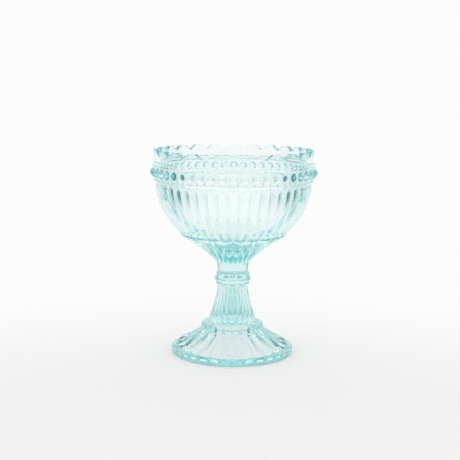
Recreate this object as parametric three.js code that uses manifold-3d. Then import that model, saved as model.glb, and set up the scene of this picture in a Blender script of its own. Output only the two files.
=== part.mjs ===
// Footed dessert bowl of pressed glass. The bowl, a beaded collar and the hollow foot are pressed apart
// and fused end to end while they are hot. Millimetres, +Z up. The origin is on the table under the middle
// of the foot, and angle 0 of every moulded pattern faces -Y.
import Module from "manifold-3d";
import * as THREE from "three";
import { mergeVertices } from "three/addons/utils/BufferGeometryUtils.js";

const wasm = await Module();
wasm.setup();

// How often each moulded pattern repeats round the axis
const TOOTH_COUNT = 24; // points of the rim
const FLUTE_COUNT = 48; // flutes of the bowl, with a bead above each
const RAY_COUNT = 24; // rays of the bowl's underside
const COLLAR_BEAD_COUNT = 16;
const LOBE_COUNT = 24; // reeds of the stem, beads of its ring and petals of the foot

// Foot, from the table up
const FOOT_RADIUS = 46.5; // widest, just above the table
const FOOT_EDGE_HEIGHT = 4.5; // upright edge
const FOOT_CHAMFER = 0.5; // along the lower rim
const BRIM_WIDTH = 3.3; // bevel from the edge in to the petals' ends
const BRIM_RISE = 1.9;
const REST_WIDTH = 4; // flat ring that the bowl stands on
const PETAL_DEPTH = 0.9; // of the creases between the petals
const PETAL_START_HEIGHT = 17.6; // where the petals leave the ring
const PETAL_BEND_RADIUS = 32; // pulls the petals' slope in
const PETAL_BEND_HEIGHT = 11;
const RING_HEIGHT = 5.9;
const RING_RADIUS = 22; // between the beads
const RING_ROUND = 2.8; // of its upper edge
const RING_BEAD_WIDTH = 5.5;
const RING_BEAD_HEIGHT = 5.6;
const RING_BEAD_REACH = 1.7; // beyond the ring
const STEM_FOOT_RADIUS = 18.8; // where the stem stands on the ring
const STEM_WAIST_RADIUS = 12; // pulls the stem's curve in
const STEM_WAIST_HEIGHT = 17.9; // above the ring
const STEM_TOP_RADIUS = 11.3;
const STEM_HEIGHT = 28.8;
const REED_DEPTH = 1;

// Hollow that the plunger leaves under the foot
const RECESS_DEPTH = 0.3; // of the flat inside the ring that it stands on
const RECESS_WIDTH = 5.5;
const THROAT_RADIUS = 18.5; // where the roof turns up inside the ring of beads
const THROAT_HEIGHT = 13.5;
const HOLLOW_WALL_HEIGHT = 9.3; // from the throat up to the dome
const DOME_RADIUS = 15.5;
const DOME_RISE = 2.7;

// Collar
const COLLAR_RADIUS = 12.1; // middle of its two round lips
const COLLAR_LIP = 0.7; // half the thickness of a lip
const COLLAR_HEIGHT = 10;
const COLLAR_SHOULDER = 1; // from the upper lip's middle to the neck
const COLLAR_HEEL = 1; // from the stem to the lower lip's middle
const COLLAR_SWELL = 1.7; // of the barrel between the lips
const COLLAR_BEAD_WIDTH = 4.5;
const COLLAR_BEAD_HEIGHT = 6;
const COLLAR_BEAD_REACH = 1.7; // beyond the lips' middle

// Bowl, from the collar up
const NECK_RADIUS = 11.3;
const NECK_HEIGHT = 6.9;
const NECK_SWELL = 1.4; // wider at its top than at its foot
const FLARE_HEIGHT = 21.4; // underside of the bowl
const FLARE_RISE = 5.6; // over which the neck still goes nearly straight up
const FLARE_BEND_OUT = 18.8; // pulls the underside's curve out towards the ledge
const FLARE_BEND_UP = 15.8;
const RAY_DEPTH = 1; // of the rays pressed into the underside
const LEDGE_RADIUS = 40.1; // ring that the flutes end on
const LEDGE_HEIGHT = 1.6;
const LEDGE_ROUND = 0.5;
const FLUTE_HEIGHT = 39.6;
const FLUTE_DEPTH = 1.4;
const BOWL_RADIUS = 59.6;
const BOWL_CENTRE_RISE = 0.7; // of the bowl's widest level above the band's foot
const GROOVE_HEIGHT = 0.5; // between the flutes and the ridge
const GROOVE_INSET = 0.7; // behind the widest radius
const RIDGE_ROUND = 0.5; // fine ridge under the beads
const RIDGE_REACH = 0.6; // beyond the widest radius
const BAND_HEIGHT = 9.6; // plain band that carries the beads
const BAND_REACH = 1; // beyond the widest radius
const BEAD_WIDTH = 7.2;
const BEAD_REACH = 2.4; // beyond the band
const LIP_HEIGHT = 0.4; // fine lip over the beads
const LIP_REACH = 1.5; // beyond the widest radius
const LIP_SHELF = 0.5; // slopes in to the moulding
const MOULDING_HEIGHT = 2.4; // plain moulding above the beads, with the lip
const MOULDING_REACH = 1; // beyond the widest radius
const MOULDING_SHELF = 0.8; // slopes in to the rim
const RIM_HEIGHT = 9.7; // from the moulding to the points
const RIM_REACH = 0.2; // beyond the widest radius
const TOOTH_DEPTH = 4.1;
const TOOTH_NOTCH_WIDTH = 10.2; // across the mouth of the notch between two points
const WALL = 4; // at the widest level
const FLOOR_THICKNESS = 19.2; // from the collar to the inside of the bowl

// Heights that follow from the stack
const RING_TOP = PETAL_START_HEIGHT + RING_HEIGHT;
const STEM_TOP = RING_TOP + STEM_HEIGHT;
const COLLAR_TOP = STEM_TOP + COLLAR_HEIGHT;
const NECK_TOP = COLLAR_TOP + NECK_HEIGHT;
const LEDGE_BOTTOM = NECK_TOP + FLARE_HEIGHT;
const FLUTE_BOTTOM = LEDGE_BOTTOM + LEDGE_HEIGHT;
const FLUTE_TOP = FLUTE_BOTTOM + FLUTE_HEIGHT;
const RIDGE_MIDDLE = FLUTE_TOP + GROOVE_HEIGHT + RIDGE_ROUND;
const BAND_BOTTOM = RIDGE_MIDDLE + RIDGE_ROUND;
const BAND_TOP = BAND_BOTTOM + BAND_HEIGHT;
const MOULDING_TOP = BAND_TOP + MOULDING_HEIGHT;
const RIM_TOP = MOULDING_TOP + RIM_HEIGHT;
const BOWL_CENTRE = BAND_BOTTOM + BOWL_CENTRE_RISE;

const glass = new THREE.MeshStandardMaterial({
  color: 0xa5dedb,
  roughness: 0.05,
  metalness: 0,
  transparent: true,
  opacity: 0.45,
});

// One ring of a piece's surface, with what the moulded pattern adds to it at each angle
const plain = () => ({ out: 0, up: 0 });
const ring = (radius, height, relief = plain) => ({ radius, height, relief });
const rings = (points, relief) => points.map(({ x, y }) => ring(x, y, relief));
const point = (radius, height) => new THREE.Vector2(radius, height);

// 1 on each crest of a pattern and 0 in the creases between; half a repeat of shift puts a crease at angle 0
const crest = (count, angle, shift = 0) => (1 + Math.cos(count * angle + 2 * Math.PI * shift)) / 2;

// Turns the rings round the axis as one closed skin and moulds the pattern into it
function pressed(surface, segments) {
  const outline = surface.map(({ radius, height }) => point(radius, height));
  const geometry = new THREE.LatheGeometry(outline, segments).rotateX(Math.PI / 2);
  const position = geometry.getAttribute("position");
  for (let index = 0; index < position.count; index++) {
    const { radius, height, relief } = surface[index % surface.length];
    const step = Math.floor(index / surface.length) % segments;
    const angle = (2 * Math.PI * step) / segments;
    const { out, up } = relief(angle);
    const reach = radius + out;
    position.setXYZ(index, reach * Math.sin(angle), -reach * Math.cos(angle), height + up);
  }
  return geometry;
}

// A row of rounded beads round the axis that reach out to one radius
function beadRow(count, shift, reach, middle, width, height) {
  return Array.from({ length: count }, (_, bead) =>
    new THREE.SphereGeometry(width / 2, 8, 4)
      .scale(1, 1, height / width)
      .translate(0, width / 2 - reach, middle)
      .rotateZ((2 * Math.PI * (bead + shift)) / count),
  );
}

function solid(geometry) {
  const bare = new THREE.BufferGeometry();
  bare.setAttribute("position", geometry.toNonIndexed().getAttribute("position"));
  const { index, attributes } = mergeVertices(bare, 1e-3);
  const triVerts = new Uint32Array(index.array);
  const vertProperties = attributes.position.array;
  return new wasm.Manifold(new wasm.Mesh({ numProp: 3, vertProperties, triVerts }));
}

// Joins a pressed body and its beads as one piece of glass
function piece(name, body, beads) {
  const { vertProperties, triVerts } = wasm.Manifold.union([solid(body), ...beads.map(solid)]).getMesh();
  const geometry = new THREE.BufferGeometry();
  geometry.setAttribute("position", new THREE.BufferAttribute(vertProperties, 3));
  geometry.setIndex(new THREE.BufferAttribute(triVerts, 1));
  geometry.computeVertexNormals();
  const mesh = new THREE.Mesh(geometry, glass);
  mesh.name = name;
  return mesh;
}

function foot() {
  const reeds = (angle) => ({ out: -REED_DEPTH * (1 - crest(LOBE_COUNT, angle, 0.5)), up: 0 });
  const petals = (angle) => ({ out: 0, up: PETAL_DEPTH * crest(LOBE_COUNT, angle, 0.5) });
  const petalEnd = FOOT_RADIUS - BRIM_WIDTH;
  const brimTop = FOOT_EDGE_HEIGHT + BRIM_RISE;
  const restInner = FOOT_RADIUS - FOOT_CHAMFER - REST_WIDTH;

  const domeFoot = THROAT_HEIGHT + HOLLOW_WALL_HEIGHT;
  const dome = new THREE.EllipseCurve(0, domeFoot, DOME_RADIUS, DOME_RISE, Math.PI / 2, 0, true);
  const petalCurve = new THREE.QuadraticBezierCurve(
    point(petalEnd, brimTop),
    point(PETAL_BEND_RADIUS, PETAL_BEND_HEIGHT),
    point(RING_RADIUS, PETAL_START_HEIGHT),
  );
  const shoulder = new THREE.EllipseCurve(
    RING_RADIUS - RING_ROUND, RING_TOP - RING_ROUND, RING_ROUND, RING_ROUND, 0, Math.PI / 2,
  );
  const stem = new THREE.QuadraticBezierCurve(
    point(STEM_FOOT_RADIUS, RING_TOP),
    point(STEM_WAIST_RADIUS, RING_TOP + STEM_WAIST_HEIGHT),
    point(STEM_TOP_RADIUS, STEM_TOP),
  );

  const surface = [
    ring(0, domeFoot + DOME_RISE),
    ...rings(dome.getPoints(4)).slice(1),
    ring(THROAT_RADIUS, THROAT_HEIGHT),
    ring(restInner - RECESS_WIDTH, RECESS_DEPTH),
    ring(restInner, RECESS_DEPTH),
    ring(restInner, 0),
    ring(FOOT_RADIUS - FOOT_CHAMFER, 0),
    ring(FOOT_RADIUS, FOOT_CHAMFER),
    ring(FOOT_RADIUS, FOOT_EDGE_HEIGHT),
    ring(petalEnd, brimTop),
    ...rings(petalCurve.getPoints(4), petals).slice(1, -1),
    ring(RING_RADIUS, PETAL_START_HEIGHT),
    ...rings(shoulder.getPoints(2)),
    ...rings(stem.getPoints(4), reeds).slice(0, -1),
    ring(STEM_TOP_RADIUS, STEM_TOP),
    ring(0, STEM_TOP),
  ];
  const ringMiddle = PETAL_START_HEIGHT + RING_BEAD_HEIGHT / 2;
  const ringReach = RING_RADIUS + RING_BEAD_REACH;
  const beads = beadRow(LOBE_COUNT, 0.5, ringReach, ringMiddle, RING_BEAD_WIDTH, RING_BEAD_HEIGHT);
  return piece("foot", pressed(surface, 4 * LOBE_COUNT), beads);
}

function collar() {
  const lipLow = STEM_TOP + COLLAR_HEEL;
  const lipHigh = COLLAR_TOP - COLLAR_SHOULDER;
  const lip = (height) =>
    new THREE.EllipseCurve(COLLAR_RADIUS, height, COLLAR_LIP, COLLAR_LIP, -Math.PI / 2, Math.PI / 2);
  const waist = COLLAR_RADIUS - COLLAR_LIP / 2;
  const barrel = new THREE.QuadraticBezierCurve(
    point(waist, lipLow + COLLAR_LIP),
    point(waist + 2 * COLLAR_SWELL, (lipLow + lipHigh) / 2),
    point(waist, lipHigh - COLLAR_LIP),
  );
  const surface = [
    ring(0, STEM_TOP),
    ring(STEM_TOP_RADIUS, STEM_TOP),
    ...rings(lip(lipLow).getPoints(4)),
    ...rings(barrel.getPoints(6)),
    ...rings(lip(lipHigh).getPoints(4)),
    ring(NECK_RADIUS, COLLAR_TOP),
    ring(0, COLLAR_TOP),
  ];
  const middle = (STEM_TOP + COLLAR_TOP) / 2;
  const reach = COLLAR_RADIUS + COLLAR_BEAD_REACH;
  const beads = beadRow(COLLAR_BEAD_COUNT, 0, reach, middle, COLLAR_BEAD_WIDTH, COLLAR_BEAD_HEIGHT);
  return piece("collar", pressed(surface, 4 * COLLAR_BEAD_COUNT), beads);
}

function bowl() {
  const neckTop = NECK_RADIUS + NECK_SWELL;
  const flareEnd = LEDGE_RADIUS - LEDGE_ROUND;
  const grooveRadius = BOWL_RADIUS - GROOVE_INSET;
  const bandRadius = BOWL_RADIUS + BAND_REACH;
  const lipRadius = BOWL_RADIUS + LIP_REACH;
  const mouldingRadius = BOWL_RADIUS + MOULDING_REACH;
  const rimRadius = BOWL_RADIUS + RIM_REACH;
  const innerRadius = BOWL_RADIUS - WALL;
  const floor = COLLAR_TOP + FLOOR_THICKNESS;
  const beadMiddle = (BAND_BOTTOM + BAND_TOP) / 2;

  const neck = new THREE.QuadraticBezierCurve(
    point(NECK_RADIUS, COLLAR_TOP),
    point(NECK_RADIUS, (COLLAR_TOP + NECK_TOP) / 2),
    point(neckTop, NECK_TOP),
  );
  const flare = new THREE.CubicBezierCurve(
    point(neckTop, NECK_TOP),
    point(neckTop + NECK_SWELL, NECK_TOP + FLARE_RISE),
    point(neckTop + FLARE_BEND_OUT, NECK_TOP + FLARE_BEND_UP),
    point(flareEnd, LEDGE_BOTTOM),
  );
  // The flutes follow an ellipse through the ledge, whose widest level is a little above them
  const drop = BOWL_CENTRE - FLUTE_BOTTOM;
  const depth = drop / Math.sqrt(1 - (LEDGE_RADIUS / BOWL_RADIUS) ** 2);
  const start = -Math.asin(drop / depth);
  const end = -Math.asin((BOWL_CENTRE - FLUTE_TOP) / depth);
  const wall = new THREE.EllipseCurve(0, BOWL_CENTRE, BOWL_RADIUS, depth, start, end);
  const inside = new THREE.EllipseCurve(
    0, BOWL_CENTRE, innerRadius, BOWL_CENTRE - floor, 0, -Math.PI / 2, true,
  );

  const ridge = new THREE.EllipseCurve(
    grooveRadius, RIDGE_MIDDLE, GROOVE_INSET + RIDGE_REACH, RIDGE_ROUND, -Math.PI / 2, Math.PI / 4,
  );

  const rays = (angle) => ({ out: 0, up: RAY_DEPTH * (1 - crest(RAY_COUNT, angle, 0.5)) });
  const flutes = (angle) => ({ out: -FLUTE_DEPTH * (1 - crest(FLUTE_COUNT, angle)), up: 0 });
  const teeth = (angle) => {
    const repeat = (2 * Math.PI) / TOOTH_COUNT;
    const fromPoint = Math.abs(angle / repeat - Math.round(angle / repeat)) * repeat;
    const fromNotch = (repeat / 2 - fromPoint) * BOWL_RADIUS;
    return { out: 0, up: -TOOTH_DEPTH * Math.max(0, 1 - fromNotch / (TOOTH_NOTCH_WIDTH / 2)) };
  };

  const surface = [
    ring(0, COLLAR_TOP),
    ...rings(neck.getPoints(2)).slice(0, -1),
    ...rings(flare.getPoints(6), rays).slice(0, -1),
    ring(flareEnd, LEDGE_BOTTOM),
    ring(LEDGE_RADIUS, LEDGE_BOTTOM + LEDGE_ROUND),
    ring(LEDGE_RADIUS, FLUTE_BOTTOM),
    ...rings(wall.getPoints(6), flutes).slice(1, -1),
    ring(grooveRadius, FLUTE_TOP),
    ...rings(ridge.getPoints(3)),
    ring(bandRadius, BAND_BOTTOM),
    ring(bandRadius, BAND_TOP),
    ring(lipRadius, BAND_TOP),
    ring(lipRadius, BAND_TOP + LIP_HEIGHT),
    ring(mouldingRadius, BAND_TOP + LIP_HEIGHT + LIP_SHELF),
    ring(mouldingRadius, MOULDING_TOP),
    ring(rimRadius, MOULDING_TOP + MOULDING_SHELF),
    ring(rimRadius, RIM_TOP, teeth),
    ring(innerRadius, RIM_TOP, teeth),
    ...rings(inside.getPoints(5)).slice(0, -1),
    ring(0, floor),
  ];
  const beads = beadRow(FLUTE_COUNT, 0, bandRadius + BEAD_REACH, beadMiddle, BEAD_WIDTH, BEAD_WIDTH);
  return piece("bowl", pressed(surface, 2 * FLUTE_COUNT), beads);
}

const dessertBowl = new THREE.Group();
dessertBowl.add(foot(), collar(), bowl());

export default dessertBowl;
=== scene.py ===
"""Footed dessert bowl of pale aqua pressed glass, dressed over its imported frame.

The bowl, the collar and the foot are three closed skins of glass, turned round the axis with the
mould's relief in them. Lengths are in metres, +Z is up, and angle 0 of each pattern faces -Y,
towards the camera.
"""

import logging
import math
from dataclasses import dataclass, field
from enum import Enum
from typing import Any, Callable, Sequence

import bpy
import numpy as np
from mathutils import Matrix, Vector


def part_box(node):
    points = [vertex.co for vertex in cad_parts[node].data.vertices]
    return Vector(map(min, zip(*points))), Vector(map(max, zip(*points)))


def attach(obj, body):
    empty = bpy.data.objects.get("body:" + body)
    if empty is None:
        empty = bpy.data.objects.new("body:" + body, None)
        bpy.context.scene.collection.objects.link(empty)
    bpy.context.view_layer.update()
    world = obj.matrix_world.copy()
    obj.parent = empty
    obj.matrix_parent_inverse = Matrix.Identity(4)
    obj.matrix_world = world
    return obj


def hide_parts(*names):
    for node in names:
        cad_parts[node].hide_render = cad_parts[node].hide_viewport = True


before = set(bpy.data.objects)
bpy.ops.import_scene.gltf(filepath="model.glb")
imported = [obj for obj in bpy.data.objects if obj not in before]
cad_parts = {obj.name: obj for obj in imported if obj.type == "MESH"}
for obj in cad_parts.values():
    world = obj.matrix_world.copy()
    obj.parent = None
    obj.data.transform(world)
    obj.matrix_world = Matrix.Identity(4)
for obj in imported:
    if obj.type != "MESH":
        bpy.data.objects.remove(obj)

MM = 0.001
TURN = 2 * math.pi
JOINT_GAP = 0.02 * MM  # between the faces of two fused pieces, so that no two faces coincide
JOINT_SHARE = 0.98  # radius of the inner ring on a fused face, as a share of the face's
GLASS_BOUNCES = 48  # a ray crosses many walls of glass before it leaves
OTHER_BOUNCES = 24
WHITE = (1.0, 1.0, 1.0, 1.0)
LOG = logging.getLogger("dessert_bowl")

Point = tuple[float, float]
Curve = Sequence[Point]
Colour = tuple[float, float, float, float]
Relief = Callable[[np.ndarray, np.ndarray], np.ndarray]
Socket = bpy.types.NodeSocket


class Mark(Enum):
    """Face marks that the glass reads: where two pieces are fused, and where the foot rubs on tables."""

    NONE = 0
    JOINT = 1
    WORN = 2


class Slope(Enum):
    """Ways in which a ramp goes from one level to the other."""

    STRAIGHT = "LINEAR"
    SMOOTH = "SMOOTHSTEP"


def linear(hex_colour: str) -> Colour:
    """Turns an sRGB hex colour into a linear one.

    Args:
        hex_colour: six hex digits.

    Returns:
        Linear red, green, blue and an alpha of 1.
    """
    shares = [int(hex_colour[at : at + 2], 16) / 255 for at in (0, 2, 4)]
    red, green, blue = (s / 12.92 if s <= 0.04045 else ((s + 0.055) / 1.055) ** 2.4 for s in shares)
    return red, green, blue, 1.0


def grey(level: float) -> Colour:
    """Gives the linear grey of a level of light."""
    return level, level, level, 1.0


def node(
    tree: bpy.types.NodeTree, kind: str, settings: dict[str, Any], links: dict[str | int, Any]
) -> bpy.types.Node:
    """Adds one node to a tree.

    Args:
        tree: the node tree.
        kind: the node's type name.
        settings: attribute values of the node.
        links: input name or index to a value, or to the output socket that feeds it.

    Returns:
        The new node.
    """
    made = tree.nodes.new(kind)
    for name, value in settings.items():
        setattr(made, name, value)
    for name, value in links.items():
        socket = made.inputs[name]
        if isinstance(value, Socket):
            tree.links.new(value, socket)
        else:
            socket.default_value = value
    return made


def ramp(
    tree: bpy.types.NodeTree,
    value: Socket,
    ends: Point,
    levels: Point = (0.0, 1.0),
    slope: Slope = Slope.SMOOTH,
) -> Socket:
    """Adds a ramp, which stays level past its ends.

    Args:
        tree: the node tree.
        value: what the ramp reads.
        ends: the values at which it starts and ends.
        levels: what it gives at its start and at its end.
        slope: how it goes from the one to the other.

    Returns:
        The ramp's output.
    """
    places = {"Value": value, "From Min": ends[0], "From Max": ends[1]}
    heights = {"To Min": levels[0], "To Max": levels[1]}
    settings = {"interpolation_type": slope.value}
    return node(tree, "ShaderNodeMapRange", settings, places | heights).outputs[0]


def blend(tree: bpy.types.NodeTree, share: Socket, first: Any, second: Any) -> Socket:
    """Adds a blend of two colours.

    Args:
        tree: the node tree.
        share: share of the second colour.
        first: the first colour, or the socket that gives it.
        second: the second colour, or the socket that gives it.

    Returns:
        The blend's output.
    """
    links = {"Factor": share, "A": first, "B": second}
    return node(tree, "ShaderNodeMix", {"data_type": "RGBA"}, links).outputs["Result"]


def combine(tree: bpy.types.NodeTree, operation: str, first: Socket, second: Socket) -> Socket:
    """Adds a sum of two values and gives its output, by the sum's type name."""
    return node(tree, "ShaderNodeMath", {"operation": operation}, {0: first, 1: second}).outputs[0]


def bezier(points: Curve, count: int) -> np.ndarray:
    """Samples a Bezier curve.

    Args:
        points: its control points, as radius and height.
        count: how many steps to make.

    Returns:
        count + 1 rows of radius and height.
    """
    degree = len(points) - 1
    t = np.linspace(0, 1, count + 1)[:, None]
    shares = [math.comb(degree, k) * t**k * (1 - t) ** (degree - k) for k in range(degree + 1)]
    return sum(share * np.array(p) for share, p in zip(shares, points))


def arc(centre: Point, radii: Point, start: float, end: float, count: int) -> np.ndarray:
    """Samples an arc of an ellipse.

    Args:
        centre: radius and height of its centre.
        radii: its half width and half height.
        start: first angle in degrees, from the outward direction up.
        end: last angle.
        count: how many steps to make.

    Returns:
        count + 1 rows of radius and height.
    """
    turn = np.radians(np.linspace(start, end, count + 1))
    return np.column_stack((centre[0] + radii[0] * np.cos(turn), centre[1] + radii[1] * np.sin(turn)))


def line(start: Point, end: Point, count: int) -> np.ndarray:
    """Samples a straight run as count + 1 rows of radius and height."""
    return np.linspace(start, end, count + 1)


def from_crest(angles: np.ndarray, count: int, shift: float = 0.0) -> np.ndarray:
    """Gives the signed angle from each angle to the nearest crest of a pattern.

    Args:
        angles: angles round the axis.
        count: repeats of the pattern.
        shift: share of a repeat by which the crests are turned from angle 0.

    Returns:
        Angles between minus and plus half a repeat.
    """
    repeat = TURN / count
    return (angles / repeat - shift - np.round(angles / repeat - shift)) * repeat


def domed(share: np.ndarray, roundness: float) -> np.ndarray:
    """Gives the height share of a rounded boss by distance from its middle.

    Args:
        share: distance from the middle, as a share of the way to the boss's edge.
        roundness: 1 for a flat parabola, 0.5 for a half ellipse, more for a soft foot.

    Returns:
        1 in the middle and 0 at the edge and beyond.
    """
    return np.clip(1 - share**2, 0, 1) ** roundness


@dataclass
class Skin:
    """Closed skin of one pressed piece: rings of points from one end of the axis to the other."""

    name: str
    columns: int
    rings: list[np.ndarray] = field(default_factory=list)
    marks: list[Mark] = field(default_factory=list)

    @property
    def angles(self) -> np.ndarray:
        """Angles of the columns."""
        return np.arange(self.columns) * TURN / self.columns

    def run(self, curve: np.ndarray, relief: Relief | None = None, mark: Mark = Mark.NONE) -> None:
        """Adds a ring for each point of a curve.

        Args:
            curve: rows of radius and height, from the ring before on.
            relief: gives each ring's offset along the curve's normal, from the curve, and by angle.
            mark: what the faces of these rings are marked with.
        """
        along = np.gradient(curve, axis=0)
        along /= np.linalg.norm(along, axis=1)[:, None]
        normals = np.column_stack((along[:, 1], -along[:, 0]))
        offsets = np.zeros((len(curve), self.columns)) if relief is None else relief(curve, self.angles)
        for (radius, height), (out, up), offset in zip(curve, normals, offsets):
            self.ring(radius + out * offset, height + up * offset, mark)

    def ring(
        self, radius: np.ndarray | float, height: np.ndarray | float, mark: Mark = Mark.NONE
    ) -> None:
        """Adds one ring, given its radius and height by angle.

        Args:
            radius: the ring's radius, or one for each column.
            height: its height, or one for each column.
            mark: what the faces between it and the ring before are marked with.
        """
        points = np.empty((self.columns, 3))
        points[:, 0] = radius * np.sin(self.angles)
        points[:, 1] = -radius * np.cos(self.angles)
        points[:, 2] = height
        self.rings.append(points)
        self.marks.append(mark)

    def build(self, sharp: float) -> bpy.types.Object:
        """Makes the mesh object, closed at both ends by a fan round the axis.

        Args:
            sharp: edges steeper than this angle, in degrees, stay sharp.

        Returns:
            The new object.
        """
        rings = np.array(self.rings)
        count, columns = len(rings), self.columns
        ends = np.array([[0, 0, rings[0, :, 2].mean()], [0, 0, rings[-1, :, 2].mean()]])
        points = np.vstack((rings.reshape(-1, 3), ends))
        here = np.arange(columns)
        there = (here + 1) % columns
        row = np.arange(count - 1)[:, None] * columns
        above = row + columns
        quads = np.stack((row + here, row + there, above + there, above + here), axis=-1)
        first = np.column_stack((np.full(columns, count * columns), there, here))
        top = (count - 1) * columns
        last = np.column_stack((np.full(columns, count * columns + 1), top + here, top + there))
        mesh = bpy.data.meshes.new(self.name)
        faces = quads.reshape(-1, 4).tolist() + first.tolist() + last.tolist()
        mesh.from_pydata(points.tolist(), [], faces)
        ring_marks = np.array([mark.value for mark in self.marks])
        side_marks = np.repeat(ring_marks[1:], columns)
        end_marks = np.repeat(ring_marks[[0, -1]], columns)
        marks = np.concatenate((side_marks, end_marks))
        for mark in (Mark.JOINT, Mark.WORN):
            layer = mesh.attributes.new(mark.name.lower(), "FLOAT", "FACE")
            layer.data.foreach_set("value", (marks == mark.value).astype(np.float32))
        mesh.update()
        mesh.shade_smooth()
        mesh.set_sharp_from_angle(angle=math.radians(sharp))
        piece = bpy.data.objects.new(self.name, mesh)
        bpy.context.scene.collection.objects.link(piece)
        return piece


@dataclass(frozen=True)
class PressedGlass:
    """Pressed soda-lime glass, fire polished: aqua all through, with a soft ripple left by the mould."""

    name: str = "pressed_soda_lime_glass_aqua"
    ior: float = 1.52
    tint: str = "7ce4e4"
    density: float = 18.0
    roughness: float = 0.0
    worn_roughness: float = 0.3
    ripple_size: float = 9 * MM
    ripple_depth: float = 0.012 * MM
    ripple_detail: float = 1.0
    ripple_roughness: float = 0.4

    def by_mark(self, tree: bpy.types.NodeTree, mark: Mark, levels: Point) -> Socket:
        """Gives a value that differs on marked faces.

        Args:
            tree: the node tree to add to.
            mark: the mark to read.
            levels: the value on plain faces and on marked ones.

        Returns:
            The value's socket.
        """
        read = node(tree, "ShaderNodeAttribute", {"attribute_name": mark.name.lower()}, {})
        return ramp(tree, read.outputs["Fac"], (0.0, 1.0), levels, Slope.STRAIGHT)

    def material(self) -> bpy.types.Material:
        """Builds the glass: a clear surface, and the tint as absorption along each ray's way inside.

        Returns:
            The material.
        """
        made = bpy.data.materials.new(self.name)
        made.use_nodes = True
        tree = made.node_tree
        tree.nodes.clear()
        place = node(tree, "ShaderNodeTexCoord", {}, {})
        ripple = node(
            tree,
            "ShaderNodeTexNoise",
            {},
            {
                "Vector": place.outputs["Object"],
                "Scale": 1 / self.ripple_size,
                "Detail": self.ripple_detail,
                "Roughness": self.ripple_roughness,
            },
        )
        bump = node(
            tree,
            "ShaderNodeBump",
            {},
            {"Height": ripple.outputs[0], "Distance": self.ripple_depth, "Strength": 1.0},
        )
        # Fused glass has no surface inside, so a ray crosses the joint as if it weren't there
        index = self.by_mark(tree, Mark.JOINT, (self.ior, 1.0))
        rough = self.by_mark(tree, Mark.WORN, (self.roughness, self.worn_roughness))
        glass = node(
            tree,
            "ShaderNodeBsdfPrincipled",
            {},
            {
                "Base Color": WHITE,
                "Transmission Weight": 1.0,
                "IOR": index,
                "Roughness": rough,
                "Normal": bump.outputs[0],
            },
        )
        depth = {"Color": linear(self.tint), "Density": self.density}
        inside = node(tree, "ShaderNodeVolumeAbsorption", {}, depth)
        ends = {"Surface": glass.outputs[0], "Volume": inside.outputs[0]}
        node(tree, "ShaderNodeOutputMaterial", {}, ends)
        return made


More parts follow.
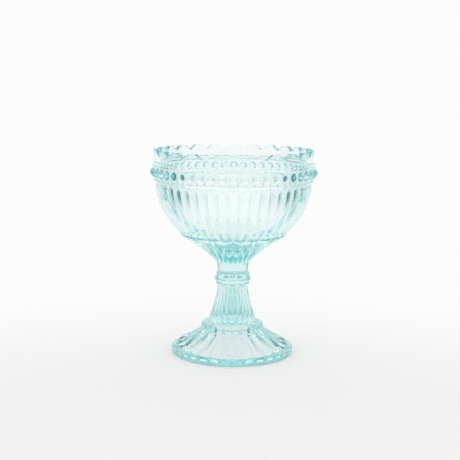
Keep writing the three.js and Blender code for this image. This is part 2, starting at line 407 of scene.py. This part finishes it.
@dataclass
class Foot:
    """Stem-and-foot pressing: a reeded stem, a ring of beads and a petalled foot, hollow underneath."""

    radius: float
    top: float
    lobes: int = 24
    columns_per_lobe: int = 16
    sharp: float = 40.0
    edge_height: float = 4.5 * MM
    edge_round: float = 0.4 * MM
    edge_turn: float = 60.0
    chamfer: float = 0.5 * MM
    brim_width: float = 3.3 * MM
    brim_rise: float = 1.9 * MM
    rest_width: float = 4 * MM
    petal_start: float = 17.6 * MM
    petal_depth: float = 1.1 * MM
    petal_round: float = 0.8
    petal_low_bend: Point = (0.3, 0.2)  # shares of the petals' run and fall, from the brim
    petal_high_bend: Point = (0.3, 0.35)  # the same, from the ring of beads
    ring_height: float = 5.9 * MM
    ring_radius: float = 22 * MM
    ring_round: float = 2.8 * MM
    ring_bead_width: float = 4.8 * MM
    ring_bead_height: float = 5.6 * MM
    ring_bead_reach: float = 1.7 * MM
    ring_bead_round: float = 0.6
    stem_foot_radius: float = 18.8 * MM
    stem_waist_radius: float = 12 * MM
    stem_waist_height: float = 17.9 * MM
    stem_top_radius: float = 11.3 * MM
    reed_depth: float = 1.3 * MM
    reed_power: float = 2.0
    reed_fade: float = 2 * MM
    recess_run: float = 5.5 * MM
    recess_depth: float = 0.3 * MM
    hollow_throat_radius: float = 18.5 * MM
    hollow_throat_height: float = 13.5 * MM
    dome_radius: float = 15.5 * MM
    dome_foot: float = 22.8 * MM
    dome_turn: float = 87.0  # degrees up to the fan at the axis
    hollow_height: float = 25.5 * MM

    @property
    def ring_top(self) -> float:
        """Height at which the ring of beads ends and the stem starts."""
        return self.petal_start + self.ring_height

    def petals(self, curve: np.ndarray, angles: np.ndarray) -> np.ndarray:
        """Gives the petals' relief: each is crowned across and ends in a half round at the brim."""
        aside = from_crest(angles, self.lobes, 0.5)
        radius = curve[:, :1]
        half = math.pi / self.lobes * (self.radius - self.brim_width)
        past = np.maximum(radius - (self.radius - self.brim_width - half), 0)
        share = np.hypot(aside * self.lobes / math.pi, past / half)
        return self.petal_depth * domed(share, self.petal_round)

    def ring_beads(self, curve: np.ndarray, angles: np.ndarray) -> np.ndarray:
        """Gives the relief of the ring's tall beads."""
        aside = from_crest(angles, self.lobes, 0.5) * self.ring_radius
        along = curve[:, 1:] - (self.petal_start + self.ring_bead_height / 2)
        share = np.hypot(aside / (self.ring_bead_width / 2), along / (self.ring_bead_height / 2))
        return self.ring_bead_reach * domed(share, self.ring_bead_round)

    def reeds(self, curve: np.ndarray, angles: np.ndarray) -> np.ndarray:
        """Gives the relief of the stem's reeds, which are crowned and fade out under the collar."""
        share = from_crest(angles, self.lobes, 0.5) * self.lobes / math.pi
        below = np.clip((self.top - curve[:, 1:]) / self.reed_fade, 0, 1)
        return -self.reed_depth * below * np.abs(share) ** self.reed_power

    def build(self) -> bpy.types.Object:
        """Makes the foot's mesh, from the roof of the hollow out over the edge and up the stem.

        Returns:
            The new object.
        """
        skin = Skin("foot_glass", self.lobes * self.columns_per_lobe)
        self.underside(skin)
        self.upper_side(skin)
        self.stem(skin)
        return skin.build(self.sharp)

    def underside(self, skin: Skin) -> None:
        """Adds the hollow from its dome down, the flat recess and the ring that the bowl stands on."""
        rest_outer = self.radius - self.chamfer
        rest_inner = rest_outer - self.rest_width
        recess_inner = rest_inner - self.recess_run
        recess = (recess_inner, self.recess_depth)
        throat = (self.hollow_throat_radius, self.hollow_throat_height)
        bend = ((recess_inner + self.hollow_throat_radius) / 2, self.hollow_throat_height / 2)
        dome = (self.dome_radius, self.hollow_height - self.dome_foot)
        skin.run(arc((0, self.dome_foot), dome, self.dome_turn, 0, 20))
        skin.run(line((self.dome_radius, self.dome_foot), throat, 6)[1:])
        skin.run(bezier((throat, bend, recess), 16)[1:])
        skin.run(line(recess, (rest_inner - self.recess_depth, self.recess_depth), 4)[1:])
        skin.run(line((rest_inner, 0), (rest_outer, 0), 3)[1:], mark=Mark.WORN)

    def upper_side(self, skin: Skin) -> None:
        """Adds the upright edge, the bevel, the petals and the ring of beads."""
        chamfer_middle = (self.radius - self.chamfer, self.chamfer)
        skin.run(arc(chamfer_middle, (self.chamfer, self.chamfer), -90, 0, 4)[1:])
        brow_middle = (self.radius - self.edge_round, self.edge_height - self.edge_round)
        brow = arc(brow_middle, (self.edge_round, self.edge_round), 0, self.edge_turn, 6)
        skin.run(brow)
        petal_end = self.radius - self.brim_width
        brim_top = self.edge_height + self.brim_rise
        skin.run(line(tuple(brow[-1]), (petal_end, brim_top), 8)[1:])
        run = petal_end - self.ring_radius
        fall = self.petal_start - brim_top
        low, high = self.petal_low_bend, self.petal_high_bend
        petal = (
            (petal_end, brim_top),
            (petal_end - low[0] * run, brim_top + low[1] * fall),
            (self.ring_radius + high[0] * run, self.petal_start - high[1] * fall),
            (self.ring_radius, self.petal_start),
        )
        skin.run(bezier(petal, 26)[1:], self.petals)
        shoulder_base = self.ring_top - self.ring_round
        ring = line((self.ring_radius, self.petal_start), (self.ring_radius, shoulder_base), 16)
        skin.run(ring[1:], self.ring_beads)
        shoulder_middle = (self.ring_radius - self.ring_round, shoulder_base)
        shoulder = arc(shoulder_middle, (self.ring_round, self.ring_round), 0, 90, 8)
        skin.run(shoulder[1:], self.ring_beads)

    def stem(self, skin: Skin) -> None:
        """Adds the reeded stem and the flat face that is fused to the collar."""
        face = self.top - JOINT_GAP / 2
        stem = (
            (self.stem_foot_radius, self.ring_top),
            (self.stem_waist_radius, self.ring_top + self.stem_waist_height),
            (self.stem_top_radius, face),
        )
        skin.run(bezier(stem, 30), self.reeds)
        skin.ring(self.stem_top_radius * JOINT_SHARE, face, Mark.JOINT)


@dataclass
class Collar:
    """Wafer of glass between the bowl and the stem: a barrel of soft beads between two round lips."""

    bottom: float
    top: float
    joint_radius: float
    beads: int = 16
    columns_per_bead: int = 12
    sharp: float = 28.0
    radius: float = 12.1 * MM
    shoulder: float = 1.0 * MM
    lip: float = 0.7 * MM
    bead_height: float = 6.6 * MM
    bead_reach: float = 2.0 * MM
    crease_share: float = 0.12  # depth of the creases between the beads, as a share of the reach

    def bead_relief(self, curve: np.ndarray, angles: np.ndarray) -> np.ndarray:
        """Gives the relief of the collar's beads."""
        aside = from_crest(angles, self.beads) * self.beads / math.pi
        along = (curve[:, 1:] - (self.bottom + self.top) / 2) / (self.bead_height / 2)
        crease = self.crease_share * (1 - domed(aside, 1.0))
        return self.bead_reach * domed(along, 1.0) * (1 - crease)

    def build(self) -> bpy.types.Object:
        """Makes the collar's mesh, from its lower face up.

        Returns:
            The new object.
        """
        skin = Skin("collar_glass", self.beads * self.columns_per_bead)
        low, high = self.bottom + JOINT_GAP / 2, self.top - JOINT_GAP / 2
        lip_low, lip_high = low + self.shoulder, high - self.shoulder
        rounds = (self.lip, self.lip)
        barrel = self.radius - self.lip / 2
        skin.ring(self.joint_radius * JOINT_SHARE, low, Mark.JOINT)
        skin.ring(self.joint_radius, low, Mark.JOINT)
        skin.run(line((self.joint_radius, low), (self.radius, lip_low - self.lip), 4)[1:])
        skin.run(arc((self.radius, lip_low), rounds, -90, 90, 8))
        wall = line((barrel, lip_low + self.lip), (barrel, lip_high - self.lip), 28)
        skin.run(wall, self.bead_relief)
        skin.run(arc((self.radius, lip_high), rounds, -90, 90, 8))
        skin.run(line((self.radius, lip_high + self.lip), (self.joint_radius, high), 4)[1:])
        skin.ring(self.joint_radius * JOINT_SHARE, high, Mark.JOINT)
        return skin.build(self.sharp)


@dataclass
class Bowl:
    """Bowl pressing: a toothed rim, beads, a ribbed wall on a ledge, a rayed underside and a neck."""

    bottom: float
    top: float
    reach: float
    teeth: int = 24
    ribs: int = 48
    rays: int = 24
    columns_per_rib: int = 12
    sharp: float = 28.0
    neck_radius: float = 11.3 * MM
    neck_height: float = 6.9 * MM
    neck_swell: float = 1.4 * MM
    flare_height: float = 21.4 * MM
    flare_low_bend: float = 0.26  # share of the flare's height, straight above the neck
    flare_high_bend: Point = (0.7, 0.74)  # shares of the flare's run and height
    ray_depth: float = 1.6 * MM
    ray_round: float = 0.8
    ledge_radius: float = 40.1 * MM
    ledge_height: float = 1.6 * MM
    ledge_round: float = 0.5 * MM
    ledge_turn: float = 60.0
    rib_height: float = 39.6 * MM
    rib_depth: float = 1.5 * MM
    rib_round: float = 0.8
    rib_head: float = 1.8 * MM
    rib_fade: float = 0.5 * MM
    rib_heel: float = 9 * MM
    rib_heel_share: float = 0.4
    radius: float = 59.6 * MM
    groove_height: float = 0.5 * MM
    groove_radius: float = 58.9 * MM
    ridge_round: float = 0.5 * MM
    ridge_radius: float = 60.2 * MM
    ridge_turn: float = 60.0
    band_height: float = 9.6 * MM
    band_radius: float = 60.6 * MM
    bead_width: float = 7.2 * MM
    bead_round: float = 1.5
    lip_height: float = 0.4 * MM
    lip_radius: float = 61.1 * MM
    moulding_height: float = 2.4 * MM
    moulding_radius: float = 60.6 * MM
    moulding_round: float = 0.25 * MM
    rim_radius: float = 59.8 * MM
    centre_rise: float = 0.7 * MM
    tooth_depth: float = 4.1 * MM
    tooth_tip: int = 4  # columns of the flat tip
    tooth_round: float = 0.6 * MM
    wall: float = 4.2 * MM
    floor_thickness: float = 19.2 * MM
    floor_turn: float = 89.0  # degrees down to the fan at the axis

    def __post_init__(self) -> None:
        """Works out the heights that follow from the stack."""
        self.neck_top = self.bottom + self.neck_height
        self.ledge_bottom = self.neck_top + self.flare_height
        self.rib_bottom = self.ledge_bottom + self.ledge_height
        self.rib_top = self.rib_bottom + self.rib_height
        self.groove_top = self.rib_top + self.groove_height
        self.ridge_middle = self.groove_top + self.ridge_round
        self.band_bottom = self.ridge_middle + self.ridge_round
        self.band_top = self.band_bottom + self.band_height
        self.moulding_top = self.band_top + self.moulding_height
        self.shelf = self.moulding_top + self.moulding_radius - self.rim_radius
        self.centre = self.band_bottom + self.centre_rise
        self.inner_radius = self.rim_radius - self.wall

    def ray_relief(self, curve: np.ndarray, angles: np.ndarray) -> np.ndarray:
        """Gives the relief of the underside's rays, crowned across and shallower towards the neck."""
        share = from_crest(angles, self.rays, 0.5) * self.rays / math.pi
        width = curve[:, :1] / self.ledge_radius
        return -self.ray_depth * np.sqrt(width) * (1 - domed(share, self.ray_round))

    def rib_relief(self, curve: np.ndarray, angles: np.ndarray) -> np.ndarray:
        """Gives the wall's relief: crowned ribs with half-round heads, set into the wall."""
        aside = from_crest(angles, self.ribs) * self.radius
        half = math.pi / self.ribs * self.radius
        steps = np.linalg.norm(np.diff(curve, axis=0), axis=1)
        along = np.concatenate(([0], np.cumsum(steps)))[:, None]
        left = along[-1] - along
        past = np.maximum(self.rib_head + half - left, 0)
        sunk = 1 - domed(np.hypot(aside / half, past / half), self.rib_round)
        heel = np.clip(along / self.rib_heel, 0, 1)
        low_end = self.rib_heel_share + (1 - self.rib_heel_share) * heel
        high_end = np.clip(left / self.rib_fade, 0, 1)
        return -self.rib_depth * sunk * low_end * high_end

    def bead_relief(self, curve: np.ndarray, angles: np.ndarray) -> np.ndarray:
        """Gives the relief of the beads on the band."""
        aside = from_crest(angles, self.ribs) * self.band_radius
        along = curve[:, 1:] - (self.band_bottom + self.band_top) / 2
        share = np.hypot(aside, along) / (self.bead_width / 2)
        return (self.reach - self.band_radius) * domed(share, self.bead_round)

    def tooth_drop(self, angles: np.ndarray) -> np.ndarray:
        """Gives how far the rim's edge lies below its points by angle, in straight-sided notches."""
        columns = len(angles) // self.teeth
        from_tip = np.abs(from_crest(angles, self.teeth)) * self.teeth / math.pi
        flat = 2 * self.tooth_tip / columns
        return self.tooth_depth * np.clip((from_tip - flat) / (1 - flat), 0, 1)

    def build(self) -> bpy.types.Object:
        """Makes the bowl's mesh, from the neck out and up over the rim and down the inside.

        Returns:
            The new object.
        """
        skin = Skin("bowl_glass", self.ribs * self.columns_per_rib)
        self.underside(skin)
        self.side(skin)
        self.band(skin)
        self.rim(skin)
        inside = (self.inner_radius, self.centre - self.bottom - self.floor_thickness)
        skin.run(arc((0, self.centre), inside, 0, -self.floor_turn, 48))
        return skin.build(self.sharp)

    def underside(self, skin: Skin) -> None:
        """Adds the flat face that is fused to the collar, the neck and the rayed flare."""
        face = self.bottom + JOINT_GAP / 2
        neck_top_radius = self.neck_radius + self.neck_swell
        neck = (
            (self.neck_radius, face),
            (self.neck_radius, (self.bottom + self.neck_top) / 2),
            (neck_top_radius, self.neck_top),
        )
        neck_rings = bezier(neck, 6)
        skin.ring(self.neck_radius * JOINT_SHARE, face, Mark.JOINT)
        skin.ring(*neck_rings[0], Mark.JOINT)
        skin.run(neck_rings[1:])
        flare_end = self.ledge_radius - self.ledge_round
        run = flare_end - neck_top_radius
        low_bend = self.neck_top + self.flare_low_bend * self.flare_height
        high_bend = self.neck_top + self.flare_high_bend[1] * self.flare_height
        flare = (
            (neck_top_radius, self.neck_top),
            (neck_top_radius + self.neck_swell, low_bend),
            (neck_top_radius + self.flare_high_bend[0] * run, high_bend),
            (flare_end, self.ledge_bottom),
        )
        skin.run(bezier(flare, 24)[1:], self.ray_relief)

    def side(self, skin: Skin) -> None:
        """Adds the ledge, the ribbed wall, which is part of an ellipse, and the groove over it."""
        ledge_low = self.ledge_bottom + self.ledge_round
        ledge_high = self.rib_bottom - self.ledge_round
        rounds = (self.ledge_round, self.ledge_round)
        skin.run(arc((self.ledge_radius - self.ledge_round, ledge_low), rounds, -self.ledge_turn, 0, 6))
        skin.run(line((self.ledge_radius, ledge_low), (self.ledge_radius, ledge_high), 2)[1:])
        wall_start = (self.ledge_radius - self.ledge_round / 2, self.rib_bottom)
        brow = ((self.ledge_radius, ledge_high), (self.ledge_radius, self.rib_bottom), wall_start)
        skin.run(bezier(brow, 5)[1:])
        drop = self.centre - self.rib_bottom
        depth = drop / math.sqrt(1 - (wall_start[0] / self.radius) ** 2)
        start = -math.degrees(math.asin(drop / depth))
        end = -math.degrees(math.asin((self.centre - self.rib_top) / depth))
        wall = arc((0, self.centre), (self.radius, depth), start, end, 60)
        skin.run(wall[1:], self.rib_relief)
        groove_end = (self.groove_radius, self.groove_top)
        groove = (tuple(wall[-1]), (self.groove_radius, self.rib_top), groove_end)
        skin.run(bezier(groove, 6)[1:])

    def band(self, skin: Skin) -> None:
        """Adds the ridge, the band of beads, and the lip and the moulding over it."""
        ridge = (self.ridge_radius - self.groove_radius, self.ridge_round)
        skin.run(arc((self.groove_radius, self.ridge_middle), ridge, -90, self.ridge_turn, 12)[1:])
        band = line((self.band_radius, self.band_bottom), (self.band_radius, self.band_top), 30)
        skin.run(band, self.bead_relief)
        skin.ring(self.lip_radius - self.moulding_round, self.band_top)
        lip_low = (self.lip_radius, self.band_top + self.moulding_round)
        lip_high = (self.lip_radius, self.band_top + self.lip_height)
        moulding_low = (self.moulding_radius, lip_high[1] + self.lip_radius - self.moulding_radius)
        moulding_high = (self.moulding_radius, self.moulding_top)
        skin.run(line(lip_low, lip_high, 2))
        skin.run(line(lip_high, moulding_low, 2)[1:])
        skin.run(line(moulding_low, moulding_high, 2)[1:])
        skin.run(line(moulding_high, (self.rim_radius, self.shelf), 2)[1:])

    def rim(self, skin: Skin) -> None:
        """Adds the rings of the rim, up the outside, over the teeth and down the inside."""
        crest = self.top - self.tooth_drop(skin.angles)
        brow = crest - self.tooth_round
        for share in np.linspace(0, 1, 9)[1:]:
            skin.ring(self.rim_radius, self.shelf + share * (brow - self.shelf))
        outer = self.rim_radius - self.tooth_round
        inner = self.inner_radius + self.tooth_round
        for edge, turns in ((outer, (0, 90)), (inner, (90, 180))):
            for turn in np.radians(np.linspace(*turns, 5)):
                reach = self.tooth_round * math.cos(turn)
                skin.ring(edge + reach, brow + self.tooth_round * math.sin(turn))
        for share in np.linspace(1, 0, 13)[1:-1]:
            skin.ring(self.inner_radius, self.centre + share * (brow - self.centre))


@dataclass
class Studio:
    """White sweep under a softbox. The glass also sees a shaded room to both sides of the set."""

    foot_radius: float
    floor_size: float = 12.0
    floor_drop: float = 0.05 * MM
    # Painted shade on the floor: the paper is greyer at the front and whiter at the back
    floor_front_shade: str = "f3f3f3"
    floor_far: str = "fcfcfc"
    front_shade_ends: Point = (-150 * MM, 170 * MM)  # from the front to the back
    shade_fade_ends: Point = (0.4, 1.2)  # outwards, all round
    # Share of the paper that glows: painted light that lifts the floor and weakens its shadows
    painted_fill_share: float = 0.45
    floor_glow: float = 0.95
    shadow_width: float = 4 * MM
    shadow_share: float = 0.45
    white: str = "fcfcfc"
    back_level: float = 0.98
    back_ends: Point = (0.3, 0.75)
    shade: str = "4a9896"
    front_share: float = 0.75
    front_ends: Point = (0.0, -0.35)
    softbox_level: float = 1.3
    softbox_ends: Point = (0.5, 0.75)
    room_ends: Point = (0.15, 0.35)  # outwards over the floor, where it turns into the room

    def floor(self) -> bpy.types.Object:
        """Makes the floor, a sheet of matt paper a hair below the foot.

        Returns:
            The new object.
        """
        half = self.floor_size / 2
        corners = [(-half, -half, 0), (half, -half, 0), (half, half, 0), (-half, half, 0)]
        mesh = bpy.data.meshes.new("floor")
        mesh.from_pydata(corners, [], [(0, 1, 2, 3)])
        mesh.materials.append(self.paper())
        piece = bpy.data.objects.new("floor", mesh)
        piece.location.z = -self.floor_drop
        bpy.context.scene.collection.objects.link(piece)
        return piece

    def paper(self) -> bpy.types.Material:
        """Builds the floor's paper, with painted shade that darkens it towards the front and near the
        set, and a glow where the glass shows it.

        Returns:
            The material.
        """
        made = bpy.data.materials.new("matt_white_paper")
        made.use_nodes = True
        tree = made.node_tree
        tree.nodes.clear()
        place = node(tree, "ShaderNodeNewGeometry", {}, {}).outputs["Position"]
        depth = node(tree, "ShaderNodeSeparateXYZ", {}, {0: place}).outputs["Y"]
        away = node(tree, "ShaderNodeVectorMath", {"operation": "LENGTH"}, {0: place}).outputs["Value"]
        # Painted shade: the paper darkens towards the front and near the set, where the light falls off,
        # and pales to white towards the back and far out
        backward = ramp(tree, depth, self.front_shade_ends)
        outward = ramp(tree, away, self.shade_fade_ends)
        less_painted_shade = combine(tree, "MAXIMUM", backward, outward)
        paper = blend(tree, less_painted_shade, linear(self.floor_front_shade), linear(self.floor_far))
        matt = node(tree, "ShaderNodeBsdfDiffuse", {}, {"Color": paper}).outputs[0]
        # Painted light: part of the paper glows with its own colour, which lifts the floor and weakens
        # the object's shadow on it
        paper_glow = node(tree, "ShaderNodeEmission", {}, {"Color": paper}).outputs[0]
        lit = node(tree, "ShaderNodeMixShader", {}, {0: self.painted_fill_share, 1: matt, 2: paper_glow}).outputs[0]
        room = self.room(tree, combine(tree, "DIVIDE", depth, away))
        level = blend(tree, ramp(tree, away, self.room_ends), grey(self.floor_glow), room)
        glow = node(tree, "ShaderNodeEmission", {}, {"Color": level}).outputs[0]
        shadow_ends = (self.foot_radius - self.shadow_width, self.foot_radius)
        clear = ramp(tree, away, shadow_ends, (self.shadow_share, 1.0), Slope.STRAIGHT)
        glowing = combine(tree, "MULTIPLY", self.seen_in_glass(tree), clear)
        surface = node(tree, "ShaderNodeMixShader", {}, {0: glowing, 1: lit, 2: glow}).outputs[0]
        node(tree, "ShaderNodeOutputMaterial", {}, {"Surface": surface})
        return made

    def seen_in_glass(self, tree: bpy.types.NodeTree) -> Socket:
        """Gives 1 for rays that come to the set by way of the glass."""
        path = node(tree, "ShaderNodeLightPath", {}, {})
        return combine(
            tree, "MAXIMUM", path.outputs["Is Glossy Ray"], path.outputs["Is Transmission Ray"]
        )

    def room(self, tree: bpy.types.NodeTree, back: Socket) -> Socket:
        """Gives the colour of the room round the set by direction.

        Args:
            tree: the node tree to add to.
            back: how far the direction points to the backdrop, from -1 at the camera to 1.

        Returns:
            The colour: white at the backdrop, shaded at the sides and paler again at the camera.
        """
        behind = ramp(tree, back, self.back_ends)
        before = ramp(tree, back, self.front_ends, (0.0, self.front_share))
        share = combine(tree, "MAXIMUM", behind, before)
        return blend(tree, share, linear(self.shade), grey(self.back_level))

    def light(self) -> None:
        """Lights the set evenly all round, and shows the glass the softbox and the room."""
        world = bpy.data.worlds.new("white_studio")
        bpy.context.scene.world = world
        world.use_nodes = True
        tree = world.node_tree
        tree.nodes.clear()
        place = node(tree, "ShaderNodeTexCoord", {}, {}).outputs["Generated"]
        parts = node(tree, "ShaderNodeSeparateXYZ", {}, {0: place})
        overhead = ramp(tree, parts.outputs["Z"], self.softbox_ends)
        room = self.room(tree, parts.outputs["Y"])
        seen = blend(tree, overhead, room, grey(self.softbox_level))
        level = blend(tree, self.seen_in_glass(tree), WHITE, seen)
        lit = node(tree, "ShaderNodeBackground", {}, {"Color": level}).outputs[0]
        wall = node(tree, "ShaderNodeBackground", {}, {"Color": linear(self.white)}).outputs[0]
        direct = node(tree, "ShaderNodeLightPath", {}, {}).outputs["Is Camera Ray"]
        both = node(tree, "ShaderNodeMixShader", {}, {0: direct, 1: lit, 2: wall}).outputs[0]
        node(tree, "ShaderNodeOutputWorld", {}, {"Surface": both})


@dataclass
class PhotoCamera:
    """Camera at the photograph's viewing angle, for a frame of 460 by 460 pixels."""

    frame_pixels: int = 460
    focal_pixels: float = 1006.96
    sensor: float = 36.0
    distance: float = 754.2 * MM
    height: float = 209.95 * MM
    pitch: float = 8.76
    yaw: float = -0.185
    roll: float = 0.6

    def build(self) -> None:
        """Makes the camera and sets it as the scene's."""
        data = bpy.data.cameras.new("camera")
        data.sensor_width = self.sensor
        data.lens = self.focal_pixels * self.sensor / self.frame_pixels
        camera = bpy.data.objects.new("camera", data)
        turn = Matrix.Rotation(math.radians(-self.yaw), 4, "Z")
        tilt = Matrix.Rotation(math.radians(90 - self.pitch), 4, "X")
        roll = Matrix.Rotation(math.radians(self.roll), 4, "Z")
        place = Matrix.Translation((0, -self.distance, self.height))
        camera.matrix_world = place @ turn @ tilt @ roll
        bpy.context.scene.collection.objects.link(camera)
        bpy.context.scene.camera = camera


def main() -> None:
    """Builds the camera, the set and the three pieces of glass."""
    logging.basicConfig(level=logging.INFO)
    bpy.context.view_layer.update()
    scene = bpy.context.scene
    scene.view_settings.view_transform = "Standard"
    scene.cycles.max_bounces = GLASS_BOUNCES
    scene.cycles.transmission_bounces = GLASS_BOUNCES
    scene.cycles.glossy_bounces = OTHER_BOUNCES
    scene.cycles.transparent_max_bounces = OTHER_BOUNCES
    PhotoCamera().build()
    _, foot_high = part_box("foot")
    collar_low, collar_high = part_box("collar")
    bowl_low, bowl_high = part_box("bowl")
    studio = Studio(foot_radius=foot_high.x)
    studio.floor()
    studio.light()
    glass = PressedGlass().material()
    foot = Foot(radius=foot_high.x, top=foot_high.z)
    collar = Collar(bottom=collar_low.z, top=collar_high.z, joint_radius=foot.stem_top_radius)
    bowl = Bowl(bottom=bowl_low.z, top=bowl_high.z, reach=bowl_high.x)
    for part, name in ((foot, "foot"), (collar, "collar"), (bowl, "bowl")):
        piece = part.build()
        piece.data.materials.append(glass)
        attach(piece, "root")
        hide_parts(name)
        LOG.info("%s: %d faces", piece.name, len(piece.data.polygons))


if __name__ == "__main__":
    main()
